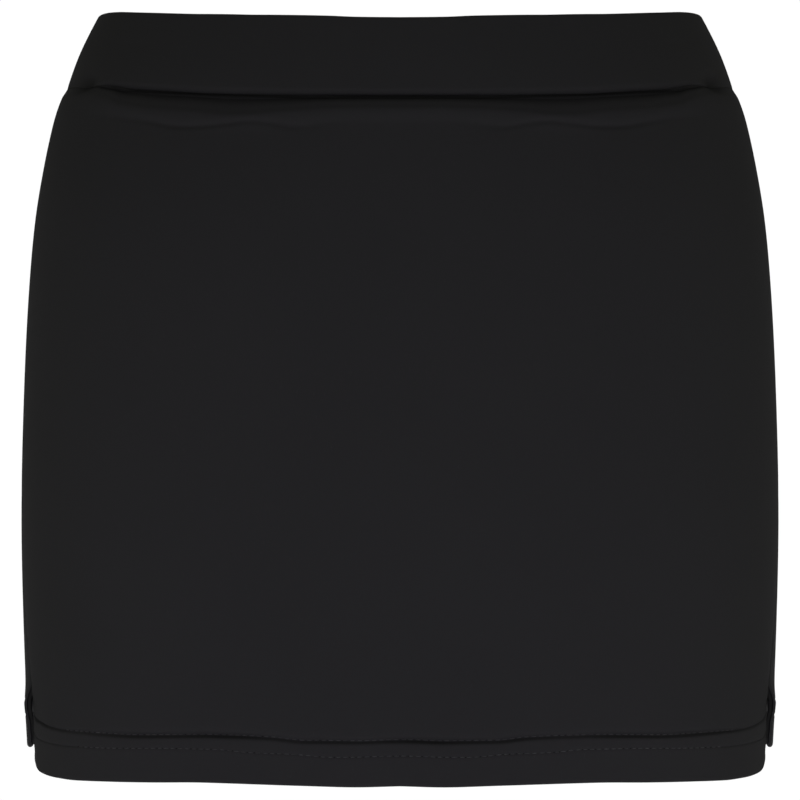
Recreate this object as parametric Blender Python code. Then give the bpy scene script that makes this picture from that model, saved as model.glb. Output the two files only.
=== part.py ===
# Tennis skort: a short, plain, fitted skirt and its inner shorts under one wide waistband,
# rounded out as worn. Metres, +Z up; the front faces -Y and +X is on the right of a front view.
# The origin is the middle of the waist, half way down the band, where the wearer holds it up.

import math
from collections import namedtuple
from functools import partial

import bmesh
import bpy
import numpy as np

# ---- Driving dimensions ----------------------------------------------------------------------

SEAM_GAP = 0.0003          # between two pieces that are sewn together
BAND_WALL = 0.0025         # the waistband: folded cloth over elastic
SKIRT_WALL = 0.0012        # one layer of the knit
HEM_WALL = 0.0024          # the knit turned up on itself
SHORTS_WALL = 0.0010

BAND_TOP = 0.0172          # the band's top edge at the side seams
BAND_TOP_FRONT_DIP = 0.0067
BAND_TOP_FRONT_CURVE = 2.8  # how late the dip comes, going round from the side
BAND_TOP_BACK_RISE = 0.0030
BAND_TOP_BACK_CURVE = 2.0
BAND_HEIGHT = 0.0342       # straight down at the side seams
WAIST_SEAM_FRONT_DIP = 0.0093
WAIST_SEAM_BACK_DIP = 0.0040
WAIST_SEAM_CURVE = 2.6

FRONT_HEM = -0.3308        # the skirt's lower edge, front panel
BACK_HEM = -0.3198         # the seat takes up some of the back panel's length
FRONT_CORNER_RISE = 0.0044
BACK_CORNER_RISE = 0.0018
CORNER_REACH = 0.004       # how far along the hem a corner is rounded
CORNER_FALL = 1.2          # how sharply the rounding ends

SLIT_TOP = -0.2900
SLIT_OPENING = 0.0009      # how far each edge stands back from the seam line
SLIT_EASE = 0.011          # the length over which the slit opens
SLIT_FLARE = 0.0012        # the back edge of a slit stands out by this much
SLIT_TUCK = 0.0006         # and the front edge lies in by this much
FLARE_FALL = 22.0          # how fast both die away along a panel

CROTCH = -0.2080
CROTCH_CURVE_TOP = -0.1400
SHORTS_HEM = -0.3050
SHORTS_INSET = 0.0042      # how far inside the skirt's form the shorts hang
CROTCH_SPREAD = 2.5        # how close to the middle the crotch curve stays
LEG_HEM_TURN = 0.018

PANEL_COLUMNS = 36
SHORTS_COLUMNS = 36
RING_SAMPLES = 240

BAND_BLACK = (0.011, 0.011, 0.011)
SKIRT_BLACK = (0.013, 0.013, 0.014)
SHORTS_BLACK = (0.010, 0.010, 0.011)
KNIT_ROUGHNESS = 0.88
SHARP_EDGE = math.radians(50.0)

# ---- Short tables ----------------------------------------------------------------------------

# The garment's form, as level sections: half its width, its depth to the front and to the back of
# the side line, and the exponent of the superellipse, which squares the section.
Section = namedtuple("Section", "height half_width front_depth back_depth roundness")
FORM = (
    Section(+0.020, 0.1384, 0.0935, 0.0925, 2.45),
    Section(+0.000, 0.1480, 0.0990, 0.0990, 2.45),
    Section(-0.017, 0.1545, 0.1035, 0.1050, 2.50),
    Section(-0.034, 0.1608, 0.1075, 0.1105, 2.50),
    Section(-0.053, 0.1651, 0.1108, 0.1155, 2.55),
    Section(-0.080, 0.1693, 0.1140, 0.1205, 2.60),
    Section(-0.118, 0.1724, 0.1165, 0.1245, 2.60),
    Section(-0.165, 0.1744, 0.1170, 0.1255, 2.65),
    Section(-0.212, 0.1753, 0.1165, 0.1230, 2.70),
    Section(-0.267, 0.1742, 0.1155, 0.1195, 2.70),
    Section(-0.335, 0.1714, 0.1150, 0.1165, 2.70),
)

# How far the side seam lies in front of the side line: it runs forward towards the slit.
SeamPoint = namedtuple("SeamPoint", "height forward")
SIDE_SEAM = (
    SeamPoint(+0.020, 0.004),
    SeamPoint(-0.100, 0.009),
    SeamPoint(-0.190, 0.018),
    SeamPoint(-0.250, 0.031),
    SeamPoint(-0.289, 0.043),
    SeamPoint(-0.335, 0.043),
)

# Rows of a panel from its top edge to its lower edge. A row lies `share` of the way down, moved by
# `shift`; the outer face stands `relief` out from the form, and the wall is measured inwards.
# On the skirt, shares up to 1 run from the waist seam to the level of the slits' tops, and 2 is
# the hem, so that both panels have the same rows along their side seams.
Row = namedtuple("Row", "share shift relief wall")
BAND_ROWS = (
    Row(0.00, +0.0000, -0.0009, 0.0008),
    Row(0.00, -0.0009, -0.0002, 0.0021),
    Row(0.00, -0.0030, +0.0000, BAND_WALL),
    Row(0.35, +0.0000, +0.0001, BAND_WALL),
    Row(0.70, +0.0000, +0.0001, BAND_WALL),
    Row(1.00, +0.0048, +0.0000, BAND_WALL),
    Row(1.00, +0.0020, -0.0006, BAND_WALL),
    Row(1.00, +0.0000, -0.0016, 0.0028),
)
SKIRT_ROWS = (
    Row(0.00, +0.0000, -0.0016, 0.0009),
    Row(0.00, -0.0010, -0.0006, 0.0011),
    Row(0.00, -0.0030, +0.0007, SKIRT_WALL),
    Row(0.00, -0.0080, +0.0009, SKIRT_WALL),
    Row(0.00, -0.0130, +0.0003, SKIRT_WALL),
    Row(0.00, -0.0180, +0.0005, SKIRT_WALL),
    Row(0.15, +0.0000, +0.0000, SKIRT_WALL),
    Row(0.28, +0.0000, +0.0000, SKIRT_WALL),
    Row(0.42, +0.0000, +0.0000, SKIRT_WALL),
    Row(0.57, +0.0000, +0.0000, SKIRT_WALL),
    Row(0.72, +0.0000, +0.0000, SKIRT_WALL),
    Row(0.86, +0.0000, +0.0000, SKIRT_WALL),
    Row(1.00, +0.0000, +0.0000, SKIRT_WALL),
    Row(1.00, -0.0040, +0.0000, SKIRT_WALL),
    Row(2.00, +0.0230, +0.0000, SKIRT_WALL),
    Row(2.00, +0.0205, +0.0001, SKIRT_WALL),
    Row(2.00, +0.0197, -0.0006, SKIRT_WALL),
    Row(2.00, +0.0188, +0.0003, HEM_WALL),
    Row(2.00, +0.0132, +0.0000, HEM_WALL),
    Row(2.00, +0.0020, +0.0002, HEM_WALL),
    Row(2.00, +0.0000, -0.0005, 0.0013),
)

# The shorts above the crotch curve: how far down from the waist seam to the curve's top, and how
# far inside the form the outer face lies.
TrunkRow = namedtuple("TrunkRow", "share shift inset")
TRUNK_ROWS = (
    TrunkRow(0.00, +0.0000, 0.0034),
    TrunkRow(0.00, -0.0040, 0.0036),
    TrunkRow(0.00, -0.0150, 0.0040),
    TrunkRow(0.38, +0.0000, SHORTS_INSET),
    TrunkRow(0.70, +0.0000, SHORTS_INSET),
)
CROTCH_ROWS = 6

# A leg below the crotch, as level sections.
LegSection = namedtuple(
    "LegSection", "share inner_side outer_side front_depth back_depth roundness"
)
LEG_FORM = (
    LegSection(0.00, 0.00015, 0.1708, 0.0990, 0.1040, 2.15),
    LegSection(0.12, 0.0022, 0.1702, 0.0975, 0.1020, 2.10),
    LegSection(0.45, 0.0060, 0.1675, 0.0930, 0.0970, 2.10),
    LegSection(1.00, 0.0100, 0.1620, 0.0870, 0.0910, 2.10),
)
# Rows of a leg, as a share of its length and a shift, with the relief and the wall of its hem.
LEG_ROWS = (
    Row(0.12, +0.0000, +0.0000, SHORTS_WALL),
    Row(0.40, +0.0000, +0.0000, SHORTS_WALL),
    Row(1.00, +0.0205, +0.0000, SHORTS_WALL),
    Row(1.00, +LEG_HEM_TURN, -0.0003, SHORTS_WALL),
    Row(1.00, +0.0165, +0.0001, 0.0018),
    Row(1.00, +0.0015, +0.0001, 0.0018),
    Row(1.00, +0.0000, -0.0004, 0.0010),
)

# ---- Reading the tables ----------------------------------------------------------------------


def smooth_between(rows, position):
    """A row of the table at a position, on a smooth curve through the table's first column."""
    keys = [row[0] for row in rows]
    step = 1 if keys[-1] > keys[0] else -1
    last = len(rows) - 1
    low = 0
    while low < last - 1 and (position - keys[low + 1]) * step > 0:
        low += 1
    span = keys[low + 1] - keys[low]
    t = min(max((position - keys[low]) / span, 0.0), 1.0)
    values = []
    for column in range(1, len(rows[0])):
        here = rows[low][column]
        there = rows[low + 1][column]
        before = rows[max(low - 1, 0)]
        after = rows[min(low + 2, last)]
        slope_here = (there - before[column]) / (keys[low + 1] - before[0]) * span
        slope_there = (after[column] - here) / (after[0] - keys[low]) * span
        values.append(
            here * (2 * t**3 - 3 * t**2 + 1)
            + slope_here * (t**3 - 2 * t**2 + t)
            + there * (3 * t**2 - 2 * t**3)
            + slope_there * (t**3 - t**2)
        )
    return type(rows[0])(position, *values)


def ease(value):
    """0 to 1 with a soft start and end."""
    t = min(max(value, 0.0), 1.0)
    return t * t * (3.0 - 2.0 * t)


def mix(a, b, share):
    return a + (b - a) * share


# ---- Sections of the form --------------------------------------------------------------------


def superellipse(angles, half_width, front_depth, back_depth, roundness):
    """Points round a section. Angle 0 is +X, and -90 degrees is the front."""
    cos, sin = np.cos(angles), np.sin(angles)
    depth = np.where(sin < 0.0, front_depth, back_depth)
    x = half_width * np.sign(cos) * np.abs(cos) ** (2.0 / roundness)
    y = depth * np.sign(sin) * np.abs(sin) ** (2.0 / roundness)
    return np.stack([x, y], axis=1)


def path_length(points):
    return float(np.linalg.norm(np.diff(points, axis=0), axis=1).sum())


def along(points, share, trim=0.0):
    """The point at a share of a path's length, with `trim` left off each end."""
    steps = np.linalg.norm(np.diff(points, axis=0), axis=1)
    run = np.concatenate([[0.0], np.cumsum(steps)])
    at = trim + share * (run[-1] - 2.0 * trim)
    return np.array([np.interp(at, run, points[:, axis]) for axis in (0, 1)])


def panel_path(height, side):
    """The level section at a height, from side seam to side seam, by the front or the back."""
    form = smooth_between(FORM, height)
    forward = smooth_between(SIDE_SEAM, height).forward
    seam_angle = math.asin((forward / form.front_depth) ** (form.roundness / 2.0))
    if side == "front":
        angles = np.linspace(seam_angle - math.pi, -seam_angle, RING_SAMPLES)
    else:
        angles = np.linspace(-seam_angle, math.pi + seam_angle, RING_SAMPLES)
    return superellipse(angles, form.half_width, form.front_depth, form.back_depth, form.roundness)


def reach_of(point, height):
    """How far round to the middle front or back a point lies: 0 at the side line, 1 there."""
    form = smooth_between(FORM, height)
    depth = form.front_depth if point[1] < 0.0 else form.back_depth
    return min(abs(point[1]) / depth, 1.0)


def edge_heights(path_at, shares, level_at):
    """The heights of an edge that rises or dips by how far round it has come."""
    heights = []
    for share in shares:
        height = level_at(np.array([0.0, 0.0]), 0.0)
        for _ in range(3):
            point = along(path_at(height), share)
            height = level_at(point, reach_of(point, height))
        heights.append(height)
    return np.array(heights)


def band_top(point, reach):
    if point[1] < 0.0:
        return BAND_TOP - BAND_TOP_FRONT_DIP * reach**BAND_TOP_FRONT_CURVE
    return BAND_TOP + BAND_TOP_BACK_RISE * reach**BAND_TOP_BACK_CURVE


def waist_seam(point, reach):
    dip = WAIST_SEAM_FRONT_DIP if point[1] < 0.0 else WAIST_SEAM_BACK_DIP
    return BAND_TOP - BAND_HEIGHT - dip * reach**WAIST_SEAM_CURVE


# ---- Walls -----------------------------------------------------------------------------------


def normals_of(grid, closed):
    """Outward unit normals of a grid of points [row][column], whose rows run from the top down."""
    down = np.gradient(grid, axis=0)
    across = np.gradient(grid, axis=1)
    for index, row in enumerate(grid):
        if closed[index]:
            across[index, 0] = across[index, -1] = row[1] - row[-2]
    normals = np.cross(down, across)
    return normals / np.linalg.norm(normals, axis=2, keepdims=True)


def wall_mesh(name, outer, inner, closed):
    """One closed body between two grids; a row marked closed runs right round to its start."""
    rows, columns = outer.shape[:2]
    mesh = bpy.data.meshes.new(name)
    bm = bmesh.new()
    layers = []
    for grid in (outer, inner):
        layer = []
        for index, points in enumerate(grid):
            line = [bm.verts.new(point) for point in points[:-1]]
            line.append(line[0] if closed[index] else bm.verts.new(points[-1]))
            layer.append(line)
        layers.append(layer)
    face, back = layers

    def quad(*corners):
        ring = []
        for corner in corners:
            if corner not in ring:
                ring.append(corner)
        if len(ring) > 2:
            bm.faces.new(ring)

    for r in range(rows - 1):
        for c in range(columns - 1):
            quad(face[r][c], face[r + 1][c], face[r + 1][c + 1], face[r][c + 1])
            quad(back[r][c], back[r][c + 1], back[r + 1][c + 1], back[r + 1][c])
    for c in range(columns - 1):
        quad(face[0][c], face[0][c + 1], back[0][c + 1], back[0][c])
        quad(face[-1][c], back[-1][c], back[-1][c + 1], face[-1][c + 1])
    for r in range(rows - 1):
        if closed[r]:
            continue
        quad(face[r][0], back[r][0], back[r + 1][0], face[r + 1][0])
        quad(face[r][-1], face[r + 1][-1], back[r + 1][-1], back[r][-1])
    bm.to_mesh(mesh)
    bm.free()
    return mesh


# ---- Panels of the band and the skirt --------------------------------------------------------


def shares_to_middle(shares):
    """0 at a panel's side edges and 1 at its middle."""
    return 1.0 - np.abs(2.0 * shares - 1.0)


def slit_openness(height):
    return ease((SLIT_TOP - height) / SLIT_EASE)


def panel_grids(side, rows, shares, levels):
    """The outer and inner points of a panel, row by row; levels are its edges and a line between."""
    form = np.empty((len(rows), len(shares), 3))
    openness = np.empty((len(rows), len(shares)))
    for r, row in enumerate(rows):
        above = min(int(row.share), len(levels) - 2)
        heights = mix(levels[above], levels[above + 1], row.share - above) + row.shift
        for c, (share, height) in enumerate(zip(shares, heights)):
            openness[r, c] = slit_openness(height)
            trim = 0.5 * SEAM_GAP + SLIT_OPENING * openness[r, c]
            form[r, c, :2] = along(panel_path(height, side), share, trim)
            form[r, c, 2] = height
    normals = normals_of(form, [False] * len(rows))
    near_edge = np.exp(-shares_to_middle(shares) * FLARE_FALL)
    stand = SLIT_FLARE if side == "back" else -SLIT_TUCK
    flare = (openness * near_edge)[:, :, None] * stand
    relief = np.array([row.relief for row in rows])[:, None, None] + flare
    wall = np.array([row.wall for row in rows])[:, None, None]
    return form + normals * relief, form + normals * (relief - wall)


def make_band(side):
    shares = np.linspace(0.0, 1.0, PANEL_COLUMNS + 1)
    path_at = partial(panel_path, side=side)
    top = edge_heights(path_at, shares, band_top)
    bottom = edge_heights(path_at, shares, waist_seam) + 0.5 * SEAM_GAP
    outer, inner = panel_grids(side, BAND_ROWS, shares, (top, bottom))
    return wall_mesh("waistband_" + side, outer, inner, [False] * len(BAND_ROWS))


def make_skirt(side):
    shares = np.linspace(0.0, 1.0, PANEL_COLUMNS + 1)
    path_at = partial(panel_path, side=side)
    top = edge_heights(path_at, shares, waist_seam) - 0.5 * SEAM_GAP
    level = FRONT_HEM if side == "front" else BACK_HEM
    rise = FRONT_CORNER_RISE if side == "front" else BACK_CORNER_RISE
    from_edge = 0.5 * path_length(panel_path(level, side)) * shares_to_middle(shares)
    bottom = level + rise * np.exp(-((from_edge / CORNER_REACH) ** CORNER_FALL))
    slit_level = np.full_like(shares, SLIT_TOP)
    outer, inner = panel_grids(side, SKIRT_ROWS, shares, (top, slit_level, bottom))
    return wall_mesh("skirt_" + side, outer, inner, [False] * len(SKIRT_ROWS))


# ---- The shorts ------------------------------------------------------------------------------


def trunk_path(height):
    """Half a level section of the form, on the +X side, from the middle front to the back."""
    form = smooth_between(FORM, height)
    angles = np.linspace(-0.5 * math.pi, 0.5 * math.pi, RING_SAMPLES)
    ring = superellipse(
        angles, form.half_width, form.front_depth, form.back_depth, form.roundness
    )
    ring[:, 0] = np.maximum(ring[:, 0], 0.5 * SEAM_GAP)
    return ring


def leg_path(height):
    """A level section of the +X leg, from the inside of the thigh, by the front, right round."""
    leg = smooth_between(LEG_FORM, (CROTCH - height) / (CROTCH - SHORTS_HEM))
    middle = 0.5 * (leg.inner_side + leg.outer_side)
    half_width = 0.5 * (leg.outer_side - leg.inner_side)
    angles = np.linspace(-math.pi, math.pi, 2 * RING_SAMPLES)
    ring = superellipse(angles, half_width, leg.front_depth, leg.back_depth, leg.roundness)
    ring[:, 0] += middle
    return ring


def line_at(heights, shares, path_at):
    """A row of points at shares of the sections at the given heights."""
    return np.array([
        [*along(path_at(height), share), height] for height, share in zip(heights, shares)
    ])


def make_shorts(name, mirrored):
    shares = np.linspace(0.0, 1.0, SHORTS_COLUMNS + 1)
    level = np.ones_like(shares)
    top = edge_heights(trunk_path, shares, waist_seam) - 0.5 * SEAM_GAP
    lines, reliefs, walls, closed = [], [], [], []

    def add_line(line, relief, wall, right_round):
        lines.append(line)
        reliefs.append(relief)
        walls.append(wall)
        closed.append(right_round)

    for row in TRUNK_ROWS:
        heights = mix(top, CROTCH_CURVE_TOP * level, row.share) + row.shift
        add_line(line_at(heights, shares, trunk_path), -row.inset, SHORTS_WALL, False)
    leg_top = line_at(CROTCH * level, shares, leg_path)
    near_middle = np.abs(2.0 * shares - 1.0) ** CROTCH_SPREAD
    for index in range(CROTCH_ROWS + 1):
        turn = 0.5 * math.pi * index / CROTCH_ROWS
        shut = 1.0 - math.cos(turn)
        side_height = mix(CROTCH_CURVE_TOP, CROTCH, index / CROTCH_ROWS)
        seam_height = mix(CROTCH_CURVE_TOP, CROTCH, math.sin(turn))
        line = mix(line_at(side_height * level, shares, trunk_path), leg_top, shut)
        line[:, 2] = mix(side_height, seam_height, near_middle)
        add_line(line, (shut - 1.0) * SHORTS_INSET, SHORTS_WALL, index == CROTCH_ROWS)
    for row in LEG_ROWS:
        height = mix(CROTCH, SHORTS_HEM, row.share) + row.shift
        add_line(line_at(height * level, shares, leg_path), row.relief, row.wall, True)

    form = np.array(lines)
    normals = normals_of(form, closed)
    relief = np.array(reliefs)[:, None, None]
    wall = np.array(walls)[:, None, None]
    outer = form + normals * relief
    inner = form + normals * (relief - wall)
    if mirrored:
        turned = np.array([-1.0, 1.0, 1.0])
        outer = (outer * turned)[:, ::-1]
        inner = (inner * turned)[:, ::-1]
    return wall_mesh(name, outer, inner, closed)


# ---- Materials and objects -------------------------------------------------------------------


def knit(name, colour):
    material = bpy.data.materials.new(name)
    material.use_nodes = True
    shader = material.node_tree.nodes["Principled BSDF"]
    shader.inputs["Base Color"].default_value = (*colour, 1.0)
    shader.inputs["Roughness"].default_value = KNIT_ROUGHNESS
    shader.inputs["Metallic"].default_value = 0.0
    material.diffuse_color = (*colour, 1.0)
    return material


def add_part(collection, name, mesh, colour):
    obj = bpy.data.objects.new(name, mesh)
    mesh.materials.append(knit(name + "_knit", colour))
    mesh.shade_smooth()
    mesh.set_sharp_from_angle(angle=SHARP_EDGE)
    collection.objects.link(obj)
    return obj


def main():
    for obj in list(bpy.data.objects):
        bpy.data.objects.remove(obj, do_unlink=True)
    collection = bpy.data.collections.new("tennis_skort")
    bpy.context.scene.collection.children.link(collection)
    for side in ("front", "back"):
        add_part(collection, "waistband_" + side, make_band(side), BAND_BLACK)
        add_part(collection, "skirt_" + side, make_skirt(side), SKIRT_BLACK)
    for name, mirrored in (("shorts_left", True), ("shorts_right", False)):
        add_part(collection, name, make_shorts(name, mirrored), SHORTS_BLACK)


main()
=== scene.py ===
import math

import bmesh
import bpy
import numpy as np
from mathutils import Matrix, Vector


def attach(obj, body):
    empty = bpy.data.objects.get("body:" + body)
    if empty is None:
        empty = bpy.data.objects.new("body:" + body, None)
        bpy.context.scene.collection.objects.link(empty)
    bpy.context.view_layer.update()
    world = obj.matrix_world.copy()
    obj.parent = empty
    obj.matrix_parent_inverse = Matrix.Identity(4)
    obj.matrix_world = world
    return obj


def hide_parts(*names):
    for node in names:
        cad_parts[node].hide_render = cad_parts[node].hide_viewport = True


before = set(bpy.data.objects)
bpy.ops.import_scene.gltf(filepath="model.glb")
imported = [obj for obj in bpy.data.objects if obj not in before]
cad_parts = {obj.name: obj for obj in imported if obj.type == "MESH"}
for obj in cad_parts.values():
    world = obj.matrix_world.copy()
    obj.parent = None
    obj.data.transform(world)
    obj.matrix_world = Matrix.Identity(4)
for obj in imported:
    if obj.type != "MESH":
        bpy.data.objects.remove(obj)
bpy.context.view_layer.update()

mm = 0.001


def inMetres(table, plain=0):    # a table is in millimetres, apart from this many of its last columns
    if isinstance(table, dict):
        return {side: inMetres(rows, plain) for side, rows in table.items()}
    if isinstance(table[0], list):
        return [inMetres(rows, plain) for rows in table]
    lengths = len(table[0]) - plain
    return [tuple(value * mm for value in row[:lengths]) + row[lengths:] for row in table]


# The worn form as level sections: height, half width, depth in front, depth behind, squareness
wornForm = inMetres([
    (20, 138.4, 93.5, 92.5, 2.45),
    (0, 148, 99, 99, 2.45),
    (-17, 154.5, 103.5, 105, 2.5),
    (-34, 160.8, 107.5, 110.5, 2.5),
    (-53, 165.1, 110.8, 115.5, 2.55),
    (-80, 169.3, 114, 120.5, 2.6),
    (-118, 172.4, 116.5, 124.5, 2.6),
    (-165, 174.4, 117, 125.5, 2.65),
    (-212, 175.3, 116.5, 123, 2.7),
    (-267, 174.2, 115.5, 119.5, 2.7),
    (-335, 171.4, 115, 116.5, 2.7),
], plain=1)

# How far the side seam runs in front of the side line: height, forward
sideSeam = inMetres([
    (20, 4), (-100, 9), (-190, 18), (-250, 31), (-289, 43), (-335, 43),
])

waist = {
    "bandTop": 17.2 * mm,        # at the side seams
    "topFrontDip": 6.7 * mm,
    "topFrontCurve": 2.8,
    "topBackRise": 3.0 * mm,
    "topBackCurve": 2.0,
    "bandHeight": 34.2 * mm,
    "seamFrontDip": 9.3 * mm,
    "seamBackDip": 4.0 * mm,
    "seamCurve": 2.6,
    "endLift": 0.9 * mm,         # the seam rises a little over the dimple at each end of the front
    "endAside": 140.5 * mm,
    "endSpread": 5.5 * mm,
}
seamGap = 0.1 * mm               # between two pieces that are sewn together
measureAt = {"waist": -20.0 * mm, "hip": -180.0 * mm}    # the levels where widths are taken
sideColumn = {"front": 0, "back": 1}

slit = {
    "top": -290.0 * mm,
    "ease": 11.0 * mm,           # the height over which the front edge tucks in
    "tuck": 0.35 * mm,
    "fall": 22.0,                # how fast its flare dies away along a panel
}

# How far each panel's edge draws back from the slit: depth below the waist, front, back
slitOpening = inMetres([
    (290, 0, 0), (293.2, 0.1, 0.2), (294.8, 0.2, 0.6), (297, 0.25, 1), (301, 0.25, 1.1),
    (304.5, 0.25, 1), (308.5, 0.2, 0.85), (313, 0.15, 0.8), (350, 0.15, 0.9),
])

grain = {"top": 26.0 * mm, "bottom": -345.0 * mm, "step": 1.0 * mm, "columns": 421, "samples": 520}


def ease(value):                 # 0 to 1 with a soft start and end
    t = np.clip(value, 0.0, 1.0)
    return t * t * (3.0 - 2.0 * t)


def mix(a, b, share):
    return a + (b - a) * share


def soft(distance, spread):      # a soft bump of height 1
    return np.exp(-((distance / spread) ** 2))


def toEdge(shares):              # the share from the nearer end
    return np.minimum(shares, 1.0 - shares)


def unit(vectors):
    return vectors / np.linalg.norm(vectors, axis=-1, keepdims=True)


def runAlong(points):            # how far along each point lies from the first
    steps = np.linalg.norm(np.diff(points, axis=0), axis=-1)
    return np.concatenate([np.zeros_like(steps[:1]), np.cumsum(steps, axis=0)])


def gridNormals(grid, closed):   # closed says for each row whether its ends meet
    across = np.gradient(grid, axis=1)
    across[closed, 0] = across[closed, -1] = grid[closed, 1] - grid[closed, -2]
    return unit(np.cross(np.gradient(grid, axis=0), across))


def smoothColumns(rows, positions):    # a table's other columns at any position, on a smooth curve
    table = np.array(sorted(rows), float)
    keys = table[:, 0]
    values = table[:, 1:]
    last = len(keys) - 1
    at = np.clip(np.asarray(positions, float), keys[0], keys[-1])
    low = np.clip(np.searchsorted(keys, at, side="right") - 1, 0, last - 1)
    before = np.maximum(np.arange(last + 1) - 1, 0)
    after = np.minimum(np.arange(last + 1) + 1, last)
    slopes = (values[after] - values[before]) / (keys[after] - keys[before])[:, None]
    span = (keys[low + 1] - keys[low])[..., None]
    t = (at - keys[low])[..., None] / span
    return (
        values[low] * (2 * t**3 - 3 * t**2 + 1)
        + slopes[low] * span * (t**3 - 2 * t**2 + t)
        + values[low + 1] * (3 * t**2 - 2 * t**3)
        + slopes[low + 1] * span * (t**3 - t**2)
    )


def ringPoints(turns, halfWidth, frontDepth, backDepth, squareness):    # turn 0 is +X, the front is at -90
    cos, sin = np.cos(turns), np.sin(turns)
    depth = np.where(sin < 0.0, frontDepth, backDepth)
    reach = (np.abs(cos / halfWidth) ** squareness + np.abs(sin / depth) ** squareness) ** (-1.0 / squareness)
    return np.stack([reach * cos, reach * sin], axis=1)


def panelRing(height, side):     # from side seam to side seam, by the front or by the back
    section = smoothColumns(wornForm, [height])[0]
    forward = smoothColumns(sideSeam, [height])[0, 0]
    sideways = section[0] * (1.0 - (forward / section[1]) ** section[3]) ** (1.0 / section[3])
    start = math.atan2(forward, sideways)
    if side == "front":
        turns = np.linspace(start - math.pi, -start, grain["samples"])
    else:
        turns = np.linspace(-start, math.pi + start, grain["samples"])
    return ringPoints(turns, *section)


def makeLattice(ringAt, top, bottom, closed=False):    # points and normals by height and share round
    heights = np.arange(top, bottom - grain["step"], -grain["step"])
    layers = []
    lengths = []
    for height in heights:
        ring = ringAt(height)
        run = runAlong(ring)
        at = np.linspace(0.0, run[-1], grain["columns"])
        x = np.interp(at, run, ring[:, 0])
        y = np.interp(at, run, ring[:, 1])
        layers.append(np.stack([x, y, np.full_like(x, height)], axis=1))
        lengths.append(run[-1])
    points = np.array(layers)
    normals = gridNormals(points, np.full(len(points), closed))
    return {"points": points, "normals": normals, "lengths": np.array(lengths), "top": top}


def readLattice(lattice, shares, heights):
    points = lattice["points"]
    row = np.clip((lattice["top"] - heights) / grain["step"], 0.0, points.shape[0] - 1.001)
    column = np.clip(shares, 0.0, 1.0) * (points.shape[1] - 1.001)
    r = row.astype(int)
    c = column.astype(int)
    rowPart = (row - r)[..., None]
    columnPart = (column - c)[..., None]
    found = []
    for field in (points, lattice["normals"]):
        upper = mix(field[r, c], field[r, c + 1], columnPart)
        lower = mix(field[r + 1, c], field[r + 1, c + 1], columnPart)
        found.append(mix(upper, lower, rowPart))
    spot, normal = found
    spot[..., 2] = heights
    return spot, unit(normal)


def lengthAt(lattice, heights):
    rows = lattice["top"] - grain["step"] * np.arange(len(lattice["lengths"]))
    return np.interp(-heights, -rows, lattice["lengths"])


lattices = {
    side: makeLattice(lambda height, side=side: panelRing(height, side), grain["top"], grain["bottom"])
    for side in ("front", "back")
}
print("form: both panels' sections are laid out")


def slitOpenness(heights):
    return ease((slit["top"] - heights) / slit["ease"])


def onPanel(side, shares, heights):    # point, outward normal, distance from the nearer side edge
    lattice = lattices[side]
    length = lengthAt(lattice, heights)
    trim = 0.5 * seamGap + smoothColumns(slitOpening, -heights)[..., sideColumn[side]]
    spot, normal = readLattice(lattice, (trim + shares * (length - 2.0 * trim)) / length, heights)
    return spot, normal, toEdge(shares) * (length - 2.0 * trim)


def reachOf(spot, heights):      # 0 at the side line, 1 at the middle front or back
    sections = smoothColumns(wornForm, heights)
    depth = np.where(spot[..., 1] < 0.0, sections[..., 1], sections[..., 2])
    return np.minimum(np.abs(spot[..., 1]) / depth, 1.0)


def bandTopLevel(spot, reach):
    frontTop = waist["bandTop"] - waist["topFrontDip"] * reach ** waist["topFrontCurve"]
    backTop = waist["bandTop"] + waist["topBackRise"] * reach ** waist["topBackCurve"]
    return np.where(spot[..., 1] < 0.0, frontTop, backTop)


def waistSeamLevel(spot, reach):
    dip = np.where(spot[..., 1] < 0.0, waist["seamFrontDip"], waist["seamBackDip"])
    return waist["bandTop"] - waist["bandHeight"] - dip * reach ** waist["seamCurve"]


def levelAlong(lattice, shares, levelAt):    # the height of an edge that dips with how far round it is
    heights = np.zeros_like(shares)
    for _ in range(4):
        spot = readLattice(lattice, shares, heights)[0]
        heights = levelAt(spot, reachOf(spot, heights))
    return heights


def seamAlong(side, shares, apart):    # the waist seam's height, moved by its distance to the cloth's edge
    lattice = lattices[side]
    heights = levelAlong(lattice, shares, waistSeamLevel) + apart
    if side == "front":
        aside = np.abs(readLattice(lattice, shares, heights)[0][..., 0])
        heights = heights + waist["endLift"] * soft(aside - waist["endAside"], waist["endSpread"])
    return heights


def softLine(rows, sideways, heights):    # a soft trough or ridge that runs round the garment
    height, depth, spread = np.moveaxis(smoothColumns(rows, sideways), -1, 0)
    inside = (sideways >= rows[0][0]) & (sideways <= rows[-1][0])
    return np.where(inside, depth, 0.0) * soft(heights - height, np.maximum(spread, 0.3 * mm))


def spreadColumns(length, edge, edgeStep, step):    # shares across a panel, closer together at its edges
    half = 0.5 * length
    count = max(int((half - edge) / step), 1)
    near = np.arange(0.0, edge, edgeStep)
    far = np.linspace(edge, half, count + 1)
    left = np.concatenate([near, far]) / length
    return np.concatenate([left, 1.0 - left[-2::-1]])


def meshFrom(bm, name):
    mesh = bpy.data.meshes.new(name)
    bm.to_mesh(mesh)
    bm.free()
    return mesh


def placeObject(name, data):
    obj = bpy.data.objects.new(name, data)
    bpy.context.scene.collection.objects.link(obj)
    return obj


sameSpot = 0.01 * mm
creaseAngle = math.radians(46.0)    # edges that are sharper than this look cut


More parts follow.
